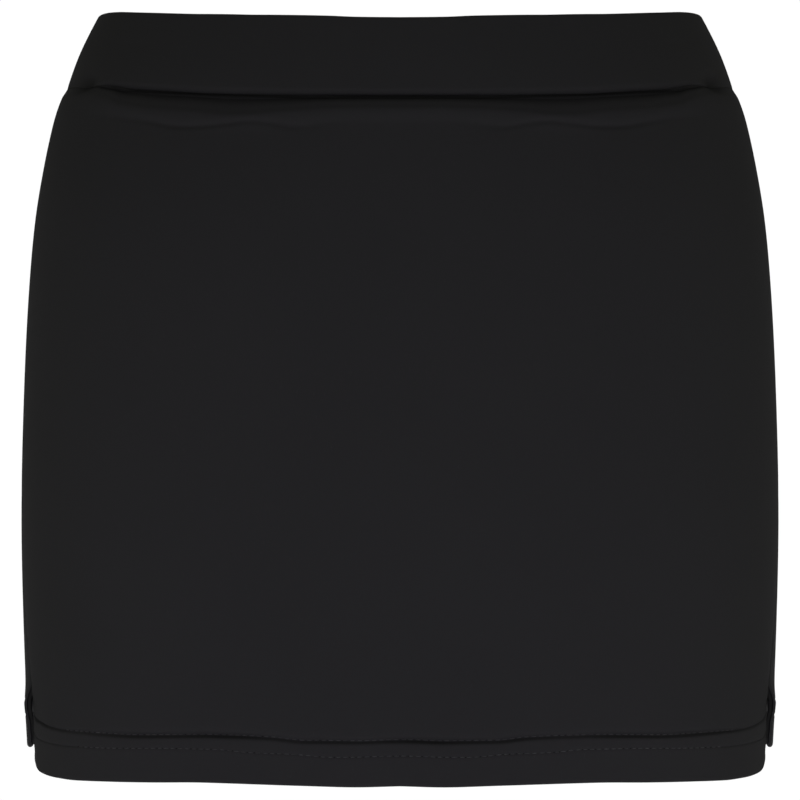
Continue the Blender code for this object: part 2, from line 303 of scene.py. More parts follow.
def layCloth(name, points, clothUv, wall, closedRows=False, deep=None):
    # a flat grid whose points are laid where the cloth runs, given a wall on its inner side
    rows, columns = points.shape[:2]
    bm = bmesh.new()
    bmesh.ops.create_grid(bm, x_segments=columns - 1, y_segments=rows - 1, size=0.5)
    mesh = meshFrom(bm, name)
    flat = np.empty((len(mesh.vertices), 3), np.float32)
    mesh.vertices.foreach_get("co", flat.ravel())
    column = np.rint((flat[:, 0] + 0.5) * (columns - 1)).astype(int)
    row = np.rint((0.5 - flat[:, 1]) * (rows - 1)).astype(int)
    mesh.vertices.foreach_set("co", points[row, column].astype(np.float32).ravel())
    corner = np.empty(len(mesh.loops), np.int32)
    mesh.loops.foreach_get("vertex_index", corner)
    layer = mesh.uv_layers.new(name="clothUv")
    layer.data.foreach_set("uv", clothUv[row, column][corner].astype(np.float32).ravel())
    # painted shade: how much the cloth's colour is darkened in folds and dimples, kept for each point
    shut = mesh.attributes.new("foldDepth", "FLOAT", "POINT")
    if deep is not None:
        shut.data.foreach_set("value", deep[row, column].astype(np.float32))
    if closedRows:
        bm = bmesh.new()
        bm.from_mesh(mesh)
        bmesh.ops.remove_doubles(bm, verts=bm.verts, dist=sameSpot)
        bm.to_mesh(mesh)
        bm.free()
    sheet = placeObject(name, mesh)
    thick = sheet.modifiers.new("wall", "SOLIDIFY")
    thick.thickness = wall
    thick.offset = -1.0
    shaped = bpy.data.meshes.new_from_object(sheet.evaluated_get(bpy.context.evaluated_depsgraph_get()))
    sheet.modifiers.clear()
    sheet.data = shaped
    shaped.name = name
    bpy.data.meshes.remove(mesh)
    shaped.shade_smooth()
    shaped.set_sharp_from_angle(angle=creaseAngle)
    return sheet


def uvOf(points, shares, width):    # across the cloth and down it, folds followed
    run = runAlong(points)
    across = np.broadcast_to((shares - 0.5) * width, run.shape)
    return np.stack([across, -run], axis=2)


def edgeRoll(fromEdge, radius):  # a cut edge that is turned in
    inside = radius - np.minimum(fromEdge, radius)
    return -(radius - np.sqrt(np.maximum(radius**2 - inside**2, 0.0)))


seamLine = {"depth": 0.15 * mm, "spread": 1.4 * mm}


def shallowSeam(share, away):    # a fine line where the waist seam isn't sunk
    return seamLine["depth"] * (1.0 - share) * soft(away, seamLine["spread"])


def ripple(along, tempo, swing, slow, start=0.0):    # an uneven pucker along a row of stitches
    return np.sin(along * tempo + swing * np.sin(along * slow) + start)


def sideSeamLine(piece, fromEdge, heights):    # the edge is turned in, sunk and a little puckered
    pucker = piece["seamPucker"] * ripple(heights, *piece["seamWave"])
    sunk = (pucker - piece["seamSink"]) * soft(fromEdge, piece["seamSpread"])
    return sunk + edgeRoll(fromEdge, piece["edgeRoll"])


skirt = {
    "wall": 1.1 * mm,
    "fold": 1.15 * mm,           # radius of a turned edge
    "allowance": 7.0 * mm,       # turned down inside the waist seam
    "foldLift": 0.9,             # how much of its fold the allowance rises behind the seam
    "tightFold": 0.08 * mm,      # radius of that fold where the seam is shallow
    "frontHem": -331.3 * mm,
    "backHem": -319.8 * mm,
    "mitre": {"front": 9.0 * mm, "back": -6.0 * mm},    # the turned layer is cut back at the slits
    "mitreSpread": 7.0 * mm,
    "slitShadeSpread": 2.5 * mm,      # painted shade on the turned layer this near a slit
    "edge": 8.0 * mm,            # its columns lie closer at the side seams
    "edgeStep": 0.5 * mm,
    "step": {"front": 2.25 * mm, "back": 2.6 * mm},
    "seamSink": 0.25 * mm,       # along the side seams
    "seamSpread": 3.2 * mm,
    "seamPucker": 0.10 * mm,
    "seamWave": (830.0, 2.2, 97.0),
    "edgeRoll": 1.0 * mm,
    "stitch": 3.2 * mm,
    "stitchLength": 2.1 * mm,
    # length of the dark beads that paint shade in the needle holes
    "holes": 0.72 * mm,
}

# The skirt swells below the waist seam, first where the seam is shallow, then deep: depth, place, spread
puff = inMetres([(0.72, 6.5, 11), (1.1, 4.5, 5)])
puffStart = 4.5 * mm

hem = {                          # a pair of values is near a slit, and away from it
    "stand": 0.30 * mm,          # the turned layer lifts the face below the upper needle row
    "standOver": 2.0 * mm,
    "ends": {"front": (0.45, 0.0, 5.0 * mm), "back": (0.0, 3.0 * mm, 9.0 * mm)},    # least, from, over
    "uneven": [(0.22, 61.0, 0.6), (0.14, 143.0, 0.0)],    # share of its depth, tempo, start
    "groove": (0.95 * mm, 1.35 * mm),
    "grooveSpread": (0.6 * mm, 1.0 * mm),
    "broadFrom": 22.0 * mm,
    "broadOver": 45.0 * mm,
    "dip": 0.30 * mm,
    "dipSpread": 2.4 * mm,
    "lower": (0.42 * mm, 0.20 * mm),
    "lowerFrom": 38.0 * mm,
    "lowerOver": 16.0 * mm,
    "lowerSpread": 0.50 * mm,
    "pucker": 0.06 * mm,
    "puckerSpread": 2.6 * mm,
    "puckerWave": (970.0, 2.0, 131.0),
}

# Both hems round off at the slits: distance from the slit, front rise, back rise
hemCorner = inMetres([
    (0, 5.3, 2), (2, 4, 1.1), (4, 2.95, 0.6), (6, 2.15, 0.3), (8, 1.55, 0.12), (11, 1.15, 0),
    (13.6, 0.92, 0), (17, 0.6, 0), (22, 0.27, 0), (30, 0, 0), (38, -0.22, 0), (48, -0.12, 0),
    (60, 0, 0), (400, 0, 0),
])

# Each hem's edge lifts and sinks a little: distance from the middle, lift
hemWave = inMetres({
    "front": [
        (0, 0.1), (20, -0.4), (44, 0.2), (88, 1.1), (111, 0.6), (143, 0), (170, 0),
    ],
    "back": [
        (0, -0.3), (34, 0.4), (71, -0.5), (110, 0.5), (150, 0), (175, 0),
    ],
})

# How far the back panel's edge stands out at the slit: depth below the waist, stand
flapStand = inMetres([
    (285, 0), (289.5, 0.5), (292, 1.1), (293.8, 1.8), (295.8, 2.6), (298.5, 3.05), (304, 2.65),
    (308, 2), (324, 1.35), (330, 1.3),
])

# Soft lines round the garment: distance from the middle, height, depth, spread
troughs = inMetres({
    "front": [[
        (0, -37.2, -0.08, 1.8), (28, -37.5, -0.14, 1.8), (46, -39.4, -0.38, 1.4),
        (55, -38, -0.58, 1.2), (66, -36.8, -0.6, 1.2), (78, -37.8, -0.66, 1.2),
        (90, -38.6, -0.72, 1.2), (102, -38.1, -0.68, 1.3), (112, -35.8, -0.55, 1.5),
        (132, -32.6, -0.18, 2), (142, -31.5, 0, 2),
    ]],
    "back": [[
        (0, -34.5, -0.2, 2.2), (30, -35.2, -0.4, 1.8), (52, -36.1, -0.46, 1.7),
        (79, -34.8, -0.32, 1.9), (104, -35.2, -0.4, 1.8), (136, -31.8, -0.1, 2.2),
        (146, -31, 0, 2.2),
    ], [
        (12, -48, 0, 4), (40, -49.2, -0.3, 4), (74, -47.5, -0.22, 4.5), (108, -45, 0, 4),
    ]],
})

# Soft flutes that hang from the hips: distance from the middle, depth at the hem, spread, top
flutes = inMetres({
    "front": [
        (-128, 0.22, 13, -235), (-94, -0.34, 15, -205), (-47, 0.24, 12, -240),
        (-18, -0.2, 10, -225), (21, 0.2, 11, -245), (52, -0.26, 13, -215), (91, 0.3, 14, -230),
        (131, -0.22, 12, -210),
    ],
    "back": [
        (-141, -0.6, 14, -190), (-103, 0.7, 16, -215), (-60, -0.95, 14, -180), (-22, 0.6, 13, -225),
        (14, -0.7, 12, -205), (55, 0.85, 16, -190), (97, -0.8, 15, -200), (137, 0.55, 13, -185),
    ],
})

# Dimples where the waist seam runs into the side: distance from the side seam, above the seam, depth, widths
waistDimples = inMetres({
    "front": [(48.5, 1.4, 2.9, 7.4, 3.6)],
    "back": [(40, 1, 0.8, 8, 3.4), (88, 1.2, 0.5, 10, 3)],
})


def dimpleDepth(side, fromEdge, aboveSeam):
    depth = 0.0
    for distance, above, deep, wide, tall in waistDimples[side]:
        depth = depth + deep * soft(fromEdge - distance, wide) * soft(aboveSeam - above, tall)
    return depth


def paintedDimpleShade(side, fromEdge, aboveSeam):    # painted shade in the waist dimples, most in the middle of the deepest one
    return 0.75 * np.clip(dimpleDepth(side, fromEdge, aboveSeam) / waistDimples["front"][0][2], 0.0, 1.0)


# How deep and how open the waist seam lies: distance from the side seam, share of depth, share of opening
seamDepths = inMetres({
    "front": [
        (0, 0.02, 0.04), (30, 0.03, 0.05), (38, 0.04, 0.08), (44, 0.08, 0.2), (50, 0.15, 0.42),
        (56, 0.3, 0.7), (62, 0.52, 0.9), (69, 0.78, 1), (79, 1, 1), (300, 1, 1),
    ],
    "back": [
        (0, 0.06, 0.05), (24, 0.1, 0.2), (50, 0.45, 0.7), (80, 0.85, 1), (120, 1, 1), (300, 1, 1),
    ],
}, plain=2)

# The skirt's top edge sags below the seam, and the band's rolled edge stands above it:
# distance from the middle, sag, opening
seamOpenings = inMetres({
    "front": [
        (0, 1.3, 0.7), (17, 1.3, 0.7), (31, 1.7, 0.7), (44, 2.6, 0.6), (55, 3.6, 0.5),
        (66, 4.9, 0.4), (78, 5.3, 0.2), (89, 4.5, 0.1), (102, 4.3, 0.3), (112, 4.1, 0.3),
        (119, 3.4, 0.3), (125, 2.8, 0.6), (130, 0.8, 1.3), (133.5, 0.5, 1.4), (136, 0.2, 0.9),
        (139, 0.2, 0.5), (142, 0, 0.5), (150, 0, 0.5),
    ],
    "back": [
        (0, 1.4, 3), (30, 2, 2.6), (55, 2.7, 2.4), (86, 1.8, 3), (118, 2.1, 2.4), (140, 0.7, 2.4),
        (156, 0, 1.5),
    ],
})


def seamShape(side, shares, heights, length):    # share of depth, sag, opening
    spot = readLattice(lattices[side], shares, heights)[0]
    depth, openShare = np.moveaxis(smoothColumns(seamDepths[side], toEdge(shares) * length), -1, 0)
    sag, opening = np.moveaxis(smoothColumns(seamOpenings[side], np.abs(spot[..., 0])), -1, 0)
    return np.clip(depth, 0.0, 1.0), sag, opening * np.clip(openShare, 0.0, 1.0)


# The two needle rows of each hem: distance from the middle, upper row, lower row
needleRows = inMetres({
    "front": [
        (0, -310.7, -317.7), (7, -310.8, -317.8), (18.3, -311.2, -318.2), (33, -311, -318.2),
        (44.5, -310.9, -317.2), (50, -310.3, -316.9), (55, -309.7, -316.8), (68.4, -309.1, -316.3),
        (79.6, -308.9, -315.3), (86.7, -308.8, -315.2), (105.4, -309.3, -315.2),
        (119, -309.7, -315.6), (132, -309.5, -316), (148, -309.2, -316.1), (170, -309.2, -316),
    ],
    "back": [
        (0, -299, -305.2), (30, -299.6, -305.8), (58, -298.4, -304.9), (90, -299.3, -305.6),
        (125, -298.8, -304.9), (150, -299.2, -305.4), (175, -299.2, -305.5),
    ],
})

# How far they climb where they reach a slit: distance from the slit, upper row, lower row
needleClimbs = inMetres({
    "front": [
        (0, 6.5, 4.2), (1.5, 5.3, 3.4), (3, 4.3, 2.8), (6, 3.2, 2), (12.5, 2.2, 1.2),
        (19, 1.1, 0.7), (30, 0.2, 0.2), (42, 0, 0), (300, 0, 0),
    ],
    "back": [
        (0, 3, 2.2), (6, 1.8, 1.2), (14, 0.6, 0.4), (26, 0, 0), (400, 0, 0),
    ],
})


def hemLines(side, spot, fromEdge):    # levels of the two needle rows
    rows = smoothColumns(needleRows[side], np.abs(spot[..., 0]))
    rows = rows + smoothColumns(needleClimbs[side], fromEdge)
    return rows[..., 0], rows[..., 1]


slitStart = {"front": -284.0 * mm, "back": -279.0 * mm}    # rows are laid closer from here down


def skirtLevels(side, shares):   # waist seam, slit top, both needle rows and hem, at each column
    lattice = lattices[side]
    top = seamAlong(side, shares, -0.5 * seamGap)
    top = top - seamShape(side, shares, top, lengthAt(lattice, measureAt["waist"]))[1]
    level = skirt[side + "Hem"]
    fromEdge = toEdge(shares) * lengthAt(lattice, level)
    spot = readLattice(lattice, shares, np.full_like(shares, level))[0]
    wave = smoothColumns(hemWave[side], np.abs(spot[..., 0]))[..., 0]
    corner = smoothColumns(hemCorner, fromEdge)[..., sideColumn[side]]
    one, two = hemLines(side, spot, fromEdge)
    return top, np.full_like(shares, slitStart[side]), one, two, level + corner + wave


def rowLevels(levels):           # the levels that the rows are shared out between, closer at the needle rows
    top, slitLevel, lineOne, lineTwo, bottom = levels
    near = 2.1 * mm
    nearer = 0.9 * mm
    return top, slitLevel, lineOne + near, lineOne - near, lineTwo + nearer, lineTwo - nearer, bottom


def skirtRelief(side, spot, fromEdge, heights, levels, shares):
    top, _, lineOne, lineTwo, _ = levels
    aside = spot[..., 0]
    below = top - heights
    share = np.clip(smoothColumns(seamDepths[side], fromEdge)[..., 0], 0.0, 1.0)
    depth, place, spread = (mix(shallow, deep, share) for shallow, deep in zip(*puff))
    relief = depth * soft(below - place, spread) * ease(below / puffStart) - shallowSeam(share, below)
    for rows in troughs[side]:
        relief = relief + softLine(rows, np.abs(aside), heights)
    for middle, depth, spread, start in flutes[side]:
        hang = ease((start - heights) / (start - skirt[side + "Hem"]))
        relief = relief + depth * hang * soft(aside - middle, spread)
    aboveOne = heights - lineOne
    least, begin, over = hem["ends"][side]
    strong = least + (1.0 - least) * ease((fromEdge - begin) / over)
    waves = [swing * np.sin(aside * tempo + start) for swing, tempo, start in hem["uneven"]]
    strong = strong * (1.0 + waves[0] + waves[1])
    broad = ease((fromEdge - hem["broadFrom"]) / hem["broadOver"])
    groove = mix(*hem["groove"], broad) * soft(aboveOne, mix(*hem["grooveSpread"], broad))
    dip = hem["dip"] * broad * soft(aboveOne, hem["dipSpread"])
    relief = relief + hem["stand"] * ease(-aboveOne / hem["standOver"]) - strong * (groove + dip)
    lower = mix(*hem["lower"], ease((fromEdge - hem["lowerFrom"]) / hem["lowerOver"]))
    relief = relief - lower * soft(heights - lineTwo, hem["lowerSpread"])
    pucker = hem["pucker"] * ripple(aside, *hem["puckerWave"])
    relief = relief + pucker * soft(aboveOne, hem["puckerSpread"])
    relief = relief - dimpleDepth(side, fromEdge, heights - top)
    nearEdge = np.exp(-2.0 * toEdge(shares) * slit["fall"])
    if side == "back":
        relief = relief + nearEdge * smoothColumns(flapStand, -heights)[..., 0]
    else:
        relief = relief - nearEdge * slitOpenness(heights) * slit["tuck"]
    return relief + sideSeamLine(skirt, fromEdge, heights)


def skirtFace(side, shares, heights):    # where the outer face of the skirt is, and its outward normal
    spot, normal, fromEdge = onPanel(side, shares, heights)
    relief = skirtRelief(side, spot, fromEdge, heights, skirtLevels(side, shares), shares)
    return spot + normal * relief[..., None], normal


# Rows down the face, counted in the levels of rowLevels: first, last, how many
faceRows = [
    (0.095, 1.0, 58), (1.07, 2.0, 14), (2.05, 3.0, 20), (3.25, 4.0, 4), (4.11, 5.0, 9), (5.12, 5.84, 7),
]
hemLevel = 6.0
turnedLevel = 7.0                # stands for the layer that is turned up inside


def skirtRows():                 # down the face and round the hem: level, shift from it, offset from the face
    fold = skirt["fold"]
    rows = [(0.0, -down, 0.0) for down in np.arange(1.9 * mm, 22.5 * mm, 0.75 * mm)]
    for first, last, count in faceRows:
        rows += [(share, 0.0, 0.0) for share in np.linspace(first, last, count)]
    for turn in np.linspace(0.0, math.pi, 9):
        rows.append((hemLevel, fold - fold * math.sin(turn), -fold + fold * math.cos(turn)))
    return rows + [(turnedLevel, share, -2.0 * fold) for share in np.linspace(0.08, 1.0, 13)]


def makeSkirt(side):
    lattice = lattices[side]
    length = lengthAt(lattice, measureAt["hip"])
    shares = spreadColumns(length, skirt["edge"], skirt["edgeStep"], skirt["step"][side])
    fromSlit = toEdge(shares) * length
    levels = skirtLevels(side, shares)
    between = rowLevels(levels)
    top = levels[0]
    fold = skirt["fold"]
    depth, sag, opening = seamShape(side, shares, top, lengthAt(lattice, measureAt["waist"]))
    shallow = 2.0 * fold * mix(0.5, 1.0, opening / (2.0 * mm)).clip(0.5, 1.0)
    deep = mix(shallow, band["seamDepth"] - 0.1 * mm, depth)
    rows = []                    # height, offset from the face, painted shade in a fold
    for down in np.arange(skirt["allowance"], 1.6 * mm, -0.9 * mm):    # the allowance turned down inside
        rows.append((top + sag - down, -deep, depth))
    tall = mix(skirt["tightFold"], fold, ease(depth * 2.0))
    for turn in np.linspace(0.0, math.pi, 13):    # out over the seam and down to the face
        inward = 0.5 * (1.0 + math.cos(turn))
        height = top + (sag + skirt["foldLift"] * tall) * inward - tall + tall * math.sin(turn)
        rows.append((height, -deep * inward, 1.1 * depth * ease(1.35 * inward)))
    for level, shift, offset in skirtRows():
        if level == turnedLevel:
            mitre = skirt["mitre"][side] * soft(fromSlit, skirt["mitreSpread"])
            height = mix(levels[4] + fold, levels[2] + 0.8 * mm - mitre, shift)
            # painted shade on the turned layer beside the slit
            shut = 1.2 * soft(fromSlit, skirt["slitShadeSpread"])
        else:
            above = min(int(level), 5)
            height = mix(between[above], between[above + 1], level - above) + shift
            shut = np.zeros_like(shares)
        rows.append((height, np.full_like(shares, offset), shut))
    heights, offsets, shut = np.moveaxis(np.array(rows), 1, 0)
    spread = np.broadcast_to(shares, heights.shape)
    spot, normal, fromEdge = onPanel(side, spread, heights)
    relief = skirtRelief(side, spot, fromEdge, heights, levels, spread)
    points = spot + normal * (relief + offsets)[..., None]
    # painted shade in the waist dimples joins the painted shade of the folds
    shut = np.maximum(shut, paintedDimpleShade(side, fromEdge, heights - top))
    sheet = layCloth("skirt" + side.title(), points, uvOf(points, shares, length), skirt["wall"], deep=shut)
    print("skirt: the", side, "panel has", len(sheet.data.polygons), "faces")
    return sheet


band = {
    "wall": 1.1 * mm,
    "fold": 1.25 * mm,           # half the band's thickness
    "edge": 6.0 * mm,
    "edgeStep": 0.5 * mm,
    "step": 2.2 * mm,
    "rollHeight": 3.5 * mm,      # the lower edge rolls in towards the seam
    "rollLeast": 0.15,           # share of that height at the sides
    "rollDepth": 3.4 * mm,
    "seamDepth": 3.0 * mm,       # the seam itself lies a little further out than the roll's end
    "innerRoll": 0.5 * mm,
    "innerClear": (0.4 * mm, 1.0 * mm),    # the inner layer ends above a shallow seam, above a roll
    "innerBend": 0.6 * mm,
    "innerTurn": 1.45,           # radians
    "level": 0.29,               # rise for each step inwards, which keeps the roll's underside level
    "crown": 0.35 * mm,          # the elastic keeps the face a little rounded
    "seamSink": 0.22 * mm,
    "seamSpread": 2.8 * mm,
    "seamPucker": 0.06 * mm,
    "seamWave": (900.0, 0.0, 0.0, 1.3),
    "edgeRoll": 0.9 * mm,
}

# The band's front edge lifts and sinks a little: distance from the middle, lift
bandTopWave = inMetres([
    (0, -0.23), (13, -0.15), (22, -0.02), (31, 0.33), (40, 0.46), (49, 0.48), (58, 0.42),
    (67, 0.28), (75, 0.28), (84, 0.16), (94, -0.04), (118, 0.06), (124, 0.24), (129, 0.42),
    (136, 0.38), (142, 0.1), (150, 0),
])

# Faint creases at the ends of the band's front: distance from the middle, height, depth, spread
bandCreases = inMetres([
    [(108, -0.8, 0, 1.6), (122, 0.2, -0.16, 1.5), (136, 2.1, 0, 1.6)],
    [(117, 6, 0, 1.4), (126, 7.2, -0.12, 1.3), (135, 9.4, 0, 1.4)],
])


def makeBand(side):
    lattice = lattices[side]
    length = lengthAt(lattice, 0.0)
    shares = spreadColumns(length, band["edge"], band["edgeStep"], band["step"])
    top = levelAlong(lattice, shares, bandTopLevel)
    if side == "front":
        top = top + smoothColumns(bandTopWave, np.abs(readLattice(lattice, shares, top)[0][..., 0]))[..., 0]
    bottom = seamAlong(side, shares, 0.5 * seamGap)
    seamShare, _, slot = seamShape(side, shares, bottom, length)
    reach = slot + band["rollHeight"] * mix(band["rollLeast"], 1.0, seamShare)
    depth = band["rollDepth"] * seamShare
    fold = band["fold"]
    shallowClear, rollClear = band["innerClear"]
    innerEnd = mix(shallowClear, slot + band["wall"] + rollClear, np.minimum(2.0 * seamShare, 1.0))
    innerReach = np.maximum(reach, innerEnd + band["innerBend"])
    flat = np.zeros_like(shares)
    rows = []                    # height, offset from the face, painted shade in a fold
    for turn in np.linspace(band["innerTurn"], 0.0, 8):    # inside, up from the seam
        inward = band["innerRoll"] * seamShare * (1.0 - math.cos(turn))
        height = bottom + mix(innerEnd, innerReach, 1.0 - math.sin(turn)) + band["level"] * inward
        rows.append((height, -2.0 * fold - inward, seamShare))
    for share in np.linspace(0.05, 1.0, 22):
        rows.append((mix(bottom + innerReach, top - fold, share), flat - 2.0 * fold, flat))
    for turn in np.linspace(0.0, math.pi, 11)[1:-1]:    # over the top edge
        rows.append((top - fold + fold * math.sin(turn), flat - fold - fold * math.cos(turn), flat))
    for share in np.linspace(0.0, 1.0, 34):
        rows.append((mix(top - fold, bottom + reach, share), flat, flat))
    for turn in np.linspace(0.0, 0.5 * math.pi, 15)[1:]:    # the outer face rolls into the seam
        inward = depth * (1.0 - math.cos(turn))
        height = bottom + mix(slot, reach, 1.0 - math.sin(turn)) + band["level"] * inward
        rows.append((height, -inward, 0.7 * seamShare * ease(turn / (0.42 * math.pi))))
    for share in (0.66, 0.33, 0.0):
        inward = mix(band["seamDepth"] * seamShare, depth, share)
        height = mix(bottom, bottom + slot + band["level"] * inward, share)
        rows.append((height, -inward - 0.1 * mm, 0.2 * seamShare * share))
    heights, offsets, shut = np.moveaxis(np.array(rows), 1, 0)
    spot, normal, fromEdge = onPanel(side, np.broadcast_to(shares, heights.shape), heights)
    aboveSeam = heights - bottom
    middle = aboveSeam / (top - bottom)
    relief = band["crown"] * np.clip(4.0 * middle * (1.0 - middle), 0.0, 1.0)
    if side == "front":
        for crease in bandCreases:
            relief = relief + softLine(crease, np.abs(spot[..., 0]), heights)
    relief = relief - shallowSeam(seamShare, aboveSeam) - dimpleDepth(side, fromEdge, aboveSeam)
    relief = relief + sideSeamLine(band, fromEdge, heights)
    points = spot + normal * (relief + offsets)[..., None]
    # painted shade in the waist dimples joins the painted shade of the folds
    shut = np.maximum(shut, paintedDimpleShade(side, fromEdge, aboveSeam))
    clothUv = uvOf(points, shares, length)
    sheet = layCloth("waistband" + side.title(), points, clothUv, band["wall"], deep=shut)
    print("band: the", side, "half has", len(sheet.data.polygons), "faces")
    return sheet


shorts = {
    "wall": 0.85 * mm,
    "fold": 0.9 * mm,
    "crotch": -208.0 * mm,
    "curveTop": -140.0 * mm,
    "curveRows": 26,
    "hem": -305.0 * mm,
    "inset": 4.2 * mm,
    "spread": 2.5,
    "hemTurn": 18.7 * mm,
    "stitch": 3.2 * mm,
    "stitchSink": 0.3 * mm,
    "seamSink": 0.4 * mm,        # along the legs' inner seams
    "seamSpread": 1.4 * mm,
    "edgeRoll": 0.7 * mm,        # along the seam of the two halves
}

# The stitch rows of a leg hem: height above the hem, depth of the groove, spread
legHemRows = inMetres([(18, 0.35, 0.8), (11.6, 0.15, 0.6)])

# How far inside the form the shorts hang: distance below the waist seam, inset
shortsInset = inMetres([(0, 9.6), (4, 8.4), (15, 5), (50, 4.2), (200, 4.2)])

# A leg as level sections: share of its length, inner and outer side, depth in front and behind, squareness
legForm = [
    (0.00, 0.00015, 0.1708, 0.0990, 0.1040, 2.15),
    (0.12, 0.0022, 0.1702, 0.0975, 0.1020, 2.10),
    (0.45, 0.0060, 0.1675, 0.0930, 0.0970, 2.10),
    (1.00, 0.0100, 0.1620, 0.0870, 0.0910, 2.10),
]


def trunkRing(height):           # half a section, from the middle front to the middle back
    section = smoothColumns(wornForm, [height])[0]
    ring = ringPoints(np.linspace(-0.5, 0.5, grain["samples"]) * math.pi, *section)
    ring[:, 0] = np.maximum(ring[:, 0], 0.5 * seamGap)
    return ring


def legRing(height):             # from the inside of the thigh, by the front, right round
    share = (shorts["crotch"] - height) / (shorts["crotch"] - shorts["hem"])
    inner, outer, frontDepth, backDepth, squareness = smoothColumns(legForm, [share])[0]
    turns = np.linspace(-math.pi, math.pi, grain["samples"])
    ring = ringPoints(turns, 0.5 * (outer - inner), frontDepth, backDepth, squareness)
    ring[:, 0] += 0.5 * (inner + outer)
    return ring


trunkLattice = makeLattice(trunkRing, grain["top"], shorts["crotch"] - 4.0 * mm)
legLattice = makeLattice(legRing, shorts["crotch"], shorts["hem"] - 2.0 * mm, closed=True)


def legRows():                   # down a leg and round its hem: distance below the crotch, offset
    fold = shorts["fold"]
    length = shorts["crotch"] - shorts["hem"]
    rows = [(down, 0.0) for down in np.linspace(0.03, 1.0, 30) * (length - 22.0 * mm)]
    rows += [(length - up, 0.0) for up in np.arange(21.0 * mm, 1.2 * mm, -1.0 * mm)]
    turned = []
    for turn in np.linspace(0.0, math.pi, 9):
        turned.append((length - fold + fold * math.sin(turn), -fold + fold * math.cos(turn)))
    turned += [(length - up, -2.0 * fold) for up in np.linspace(2.0 * mm, shorts["hemTurn"], 11)]
    return rows + turned


def makeShorts(name, mirrored):
    length = lengthAt(trunkLattice, shorts["curveTop"])
    shares = np.linspace(0.0, 1.0, 181)
    ones = np.ones_like(shares)
    top = levelAlong(trunkLattice, shares, waistSeamLevel) - 0.5 * seamGap
    lines = []
    offsets = []
    closed = []
    for share in np.concatenate([np.linspace(0.0, 0.15, 14), np.linspace(0.18, 1.0, 26)[:-1]]):
        heights = mix(top, shorts["curveTop"] * ones, share)
        lines.append(readLattice(trunkLattice, shares, heights)[0])
        offsets.append(-smoothColumns(shortsInset, top - heights)[..., 0])
        closed.append(False)
    legTop = readLattice(legLattice, shares, shorts["crotch"] * ones)[0]
    nearMiddle = np.abs(2.0 * shares - 1.0) ** shorts["spread"]
    for index in range(shorts["curveRows"] + 1):    # the trunk closes in to the leg
        part = index / shorts["curveRows"]
        shut = 1.0 - math.cos(0.5 * math.pi * part)
        sideHeight = mix(shorts["curveTop"], shorts["crotch"], part)
        seamHeight = mix(shorts["curveTop"], shorts["crotch"], math.sin(0.5 * math.pi * part))
        line = mix(readLattice(trunkLattice, shares, sideHeight * ones)[0], legTop, shut)
        line[:, 2] = mix(sideHeight, seamHeight, nearMiddle)
        lines.append(line)
        offsets.append((shut - 1.0) * shorts["inset"] * ones)
        closed.append(part == 1.0)
    legLength = shorts["crotch"] - shorts["hem"]
    for down, offset in legRows():
        above = legLength - down
        groove = sum(depth * soft(above - row, spread) for row, depth, spread in legHemRows)
        lines.append(readLattice(legLattice, shares, (shorts["crotch"] - down) * ones)[0])
        offsets.append((offset - groove) * ones)
        closed.append(True)
    form = np.array(lines)
    closed = np.array(closed)
    fromEdge = toEdge(shares) * length
    legSeam = -shorts["seamSink"] * soft(fromEdge, shorts["seamSpread"])
    seam = np.where(closed[:, None], legSeam, edgeRoll(fromEdge, shorts["edgeRoll"]))
    turnedRows = 16              # these keep the normals of the last row above them
    normals = gridNormals(form[:-turnedRows], closed[:-turnedRows])
    normals = np.concatenate([normals, np.repeat(normals[-1:], turnedRows, axis=0)])
    points = form + normals * (np.array(offsets) + seam)[..., None]
    if mirrored:
        points = (points * np.array([-1.0, 1.0, 1.0]))[:, ::-1]
    sheet = layCloth(name, points, uvOf(points, shares, length), shorts["wall"], closedRows=True)
    print("shorts:", name, "has", len(sheet.data.polygons), "faces")
    return sheet


needleThread = {"width": 0.42 * mm, "height": 0.34 * mm, "lift": 0.08 * mm}
# flat dark beads that paint the shade in the needle holes
needleHole = {"width": 0.52 * mm, "height": 0.20 * mm, "lift": 0.0}
looperThread = {"width": 0.34 * mm, "height": 0.30 * mm, "lift": 0.10 * mm}


def beads(name, places, thread):    # small stitches as one mesh, each place is spot, along, up, length
    bm = bmesh.new()
    bmesh.ops.create_uvsphere(bm, u_segments=6, v_segments=4, radius=0.5)
    bead = meshFrom(bm, name + "Bead")
    joined = bmesh.new()
    for spot, along, up, length in places:
        along = Vector(along).normalized()
        across = Vector(up).cross(along).normalized()
        lift = along.cross(across)
        axes = Matrix((across * thread["width"], lift * thread["height"], along * length)).transposed()
        one = bead.copy()
        one.transform(Matrix.Translation(Vector(spot) + lift * thread["lift"]) @ axes.to_4x4())
        joined.from_mesh(one)
        bpy.data.meshes.remove(one)
    mesh = meshFrom(joined, name)
    bpy.data.meshes.remove(bead)
    mesh.shade_smooth()
    return placeObject(name, mesh)


# Stitches differ a little: slip along the row, share of the pitch; stretch, share of the length; sink
unlike = {"slip": 0.07, "stretch": 0.16, "sink": 0.08 * mm, "sinkFrom": 0.4}


def stitchBetween(start, end, up):
    return 0.5 * (start + end), end - start, up, float(np.linalg.norm(end - start))


def readLine(run, line, at):
    return np.array([np.interp(at, run, line[:, axis]) for axis in range(3)])


def rowPlaces(points, normals, pitch, length):    # stitches along a line, no two quite alike
    run = runAlong(points)
    count = int(run[-1] / pitch)
    chance = np.random.default_rng(count)
    places = []
    for index in range(count):
        slip, sink, stretch = chance.uniform(-1.0, 1.0, 3)
        at = (index + 0.5) * run[-1] / count + unlike["slip"] * pitch * slip
        own = length * (1.0 + unlike["stretch"] * stretch)
        start, end = (readLine(run, points, at + shift) for shift in (-0.5 * own, 0.5 * own))
        up = readLine(run, normals, at)
        sunk = up * (unlike["sink"] * (sink - unlike["sinkFrom"]))
        places.append((0.5 * (start + end) + sunk, end - start, up, own))
    return places


